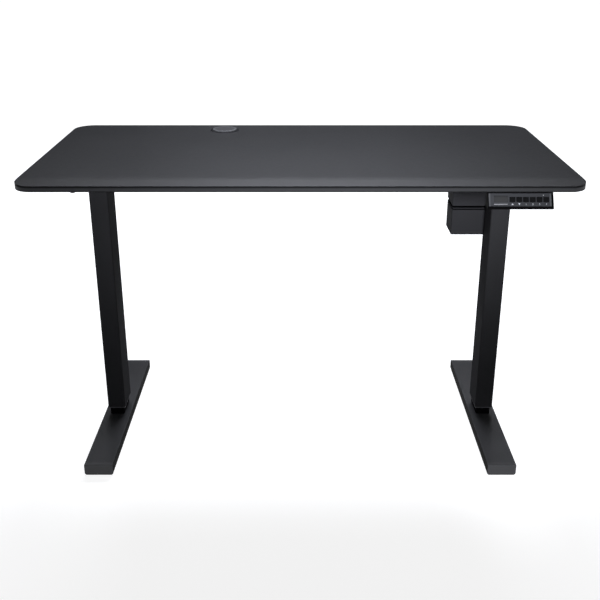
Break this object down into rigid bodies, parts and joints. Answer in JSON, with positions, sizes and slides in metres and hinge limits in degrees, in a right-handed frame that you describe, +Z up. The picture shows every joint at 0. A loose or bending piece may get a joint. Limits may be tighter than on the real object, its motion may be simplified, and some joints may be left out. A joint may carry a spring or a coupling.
{
  "type": "height adjustable standing desk",
  "caption": "Rectangular desktop with a gently falling front edge on two telescopic columns and flat feet, with a side motor and an edge handset.",
  "frame": {"origin": "on the floor under the middle of the desktop", "axes": "+Z up, +X along the desktop towards the handset's end, the user sits on the -Y side"},
  "size_m": [1.2, 0.6, 0.7322],
  "materials": {
    "desktop_film": "dark grey matt film over board",
    "black_steel": "fine-textured black powder coat",
    "dark_plastic": "matt black moulded plastic",
    "fascia_plastic": "satin dark grey plastic",
    "display_plastic": "smoked clear plastic",
    "grey_plastic": "mid grey moulded plastic",
    "key_rubber": "matt black key tops",
    "rubber": "black rubber",
    "white_plastic": "natural acetal",
    "cast_alloy": "die-cast alloy",
    "plain_steel": "machined steel",
    "screw_steel": "blackened steel",
    "motor_steel": "zinc-plated motor can",
    "brass_gear": "cut bronze teeth",
    "board": "green circuit board"
  },
  "bodies": {
    "left_leg": {"left_foot": "black_steel", "left_foot_bolts": "screw_steel", "left_foot_caps": "dark_plastic", "left_inner_column": "black_steel", "left_lift_nut": "white_plastic", "left_slide_sleeve": "white_plastic"},
    "right_leg": {"right_foot": "black_steel", "right_foot_bolts": "screw_steel", "right_foot_caps": "dark_plastic", "right_inner_column": "black_steel", "right_lift_nut": "white_plastic", "right_slide_sleeve": "white_plastic"},
    "left_front_glide": {"left_front_glide": "dark_plastic"},
    "left_rear_glide": {"left_rear_glide": "dark_plastic"},
    "right_front_glide": {"right_front_glide": "dark_plastic"},
    "right_rear_glide": {"right_rear_glide": "dark_plastic"},
    "left_screw": {"left_lead_screw": "plain_steel"},
    "right_screw": {"right_lead_screw": "plain_steel"},
    "shaft": {"cross_shaft": "plain_steel", "shaft_gears": "plain_steel"},
    "jack": {"jack_shaft": "plain_steel", "jack_gears": "brass_gear"},
    "worm": {"motor_worm": "plain_steel"},
    "grommet_cap": {"grommet_cap": "grey_plastic"},
    "key_up": {"key_up": "key_rubber"},
    "key_down": {"key_down": "key_rubber"},
    "key_1": {"key_1": "key_rubber"},
    "key_2": {"key_2": "key_rubber"},
    "key_3": {"key_3": "key_rubber"},
    "key_4": {"key_4": "key_rubber"},
    "desk": {"box_sockets": "dark_plastic", "bracket_pads": "rubber", "column_collars": "dark_plastic", "control_board": "board", "control_box": "dark_plastic", "control_plate": "black_steel", "desktop": "desktop_film", "desktop_screws": "screw_steel", "frame_bolts": "screw_steel", "front_rail": "black_steel", "gearbox_lid": "dark_plastic", "gearbox_shell": "dark_plastic", "grommet_ring": "dark_plastic", "handset_board": "board", "handset_display": "display_plastic", "handset_fascia": "fascia_plastic", "handset_housing": "dark_plastic", "left_gear_case": "cast_alloy", "left_outer_column": "black_steel", "left_side_bracket": "black_steel", "motor": "motor_steel", "motor_cover": "dark_plastic", "motor_flange": "dark_plastic", "rear_rail": "black_steel", "right_gear_case": "cast_alloy", "right_outer_column": "black_steel", "right_side_bracket": "black_steel", "screw_bearings": "plain_steel"}
  },
  "joints": [
    {"name": "desk_lift", "type": "slide", "parent": "left_leg", "child": "desk", "axis": [0, 0, 1], "range_m": [0, 0.45]},
    {"name": "right_leg_slide", "type": "slide", "parent": "desk", "child": "right_leg", "axis": [0, 0, -1], "range_m": [0, 0.45]},
    {"name": "left_screw_turn", "type": "hinge", "parent": "desk", "child": "left_screw", "pos_m": [-0.4818, 0, 0.6], "axis": [0, 0, 1], "continuous": true},
    {"name": "right_screw_turn", "type": "hinge", "parent": "desk", "child": "right_screw", "pos_m": [0.4818, 0, 0.6], "axis": [0, 0, 1], "continuous": true},
    {"name": "shaft_turn", "type": "hinge", "parent": "desk", "child": "shaft", "pos_m": [0, 0, 0.6595], "axis": [1, 0, 0], "continuous": true},
    {"name": "jack_turn", "type": "hinge", "parent": "desk", "child": "jack", "pos_m": [0.4176, 0.033, 0.6595], "axis": [1, 0, 0], "continuous": true},
    {"name": "worm_turn", "type": "hinge", "parent": "desk", "child": "worm", "pos_m": [0.4176, 0.0605, 0.6595], "axis": [0, 0, 1], "continuous": true},
    {"name": "grommet_cap_lift", "type": "slide", "parent": "desk", "child": "grommet_cap", "axis": [0, 0, 1], "range_m": [0, 0.03]},
    {"name": "left_front_glide_screw", "type": "slide", "parent": "left_leg", "child": "left_front_glide", "axis": [0, 0, -1], "range_m": [0, 0.008]},
    {"name": "left_rear_glide_screw", "type": "slide", "parent": "left_leg", "child": "left_rear_glide", "axis": [0, 0, -1], "range_m": [0, 0.008]},
    {"name": "right_front_glide_screw", "type": "slide", "parent": "right_leg", "child": "right_front_glide", "axis": [0, 0, -1], "range_m": [0, 0.008]},
    {"name": "right_rear_glide_screw", "type": "slide", "parent": "right_leg", "child": "right_rear_glide", "axis": [0, 0, -1], "range_m": [0, 0.008]},
    {"name": "key_up_press", "type": "slide", "parent": "desk", "child": "key_up", "axis": [0, 0.866, -0.5], "range_m": [0, 0.0006], "stiffness_N_per_m": 600, "springref_m": -0.0006},
    {"name": "key_down_press", "type": "slide", "parent": "desk", "child": "key_down", "axis": [0, 0.866, -0.5], "range_m": [0, 0.0006], "stiffness_N_per_m": 600, "springref_m": -0.0006},
    {"name": "key_1_press", "type": "slide", "parent": "desk", "child": "key_1", "axis": [0, 0.866, -0.5], "range_m": [0, 0.0006], "stiffness_N_per_m": 600, "springref_m": -0.0006},
    {"name": "key_2_press", "type": "slide", "parent": "desk", "child": "key_2", "axis": [0, 0.866, -0.5], "range_m": [0, 0.0006], "stiffness_N_per_m": 600, "springref_m": -0.0006},
    {"name": "key_3_press", "type": "slide", "parent": "desk", "child": "key_3", "axis": [0, 0.866, -0.5], "range_m": [0, 0.0006], "stiffness_N_per_m": 600, "springref_m": -0.0006},
    {"name": "key_4_press", "type": "slide", "parent": "desk", "child": "key_4", "axis": [0, 0.866, -0.5], "range_m": [0, 0.0006], "stiffness_N_per_m": 600, "springref_m": -0.0006}
  ],
  "couplings": [
    {"joint": "right_leg_slide", "follows": "desk_lift", "ratio": 1},
    {"joint": "right_screw_turn", "follows": "desk_lift", "rad_per_m": 1047.2},
    {"joint": "left_screw_turn", "follows": "desk_lift", "rad_per_m": -1047.2},
    {"joint": "shaft_turn", "follows": "desk_lift", "rad_per_m": -1047.2},
    {"joint": "jack_turn", "follows": "desk_lift", "rad_per_m": 1047.2},
    {"joint": "worm_turn", "follows": "desk_lift", "rad_per_m": 26180}
  ]
}
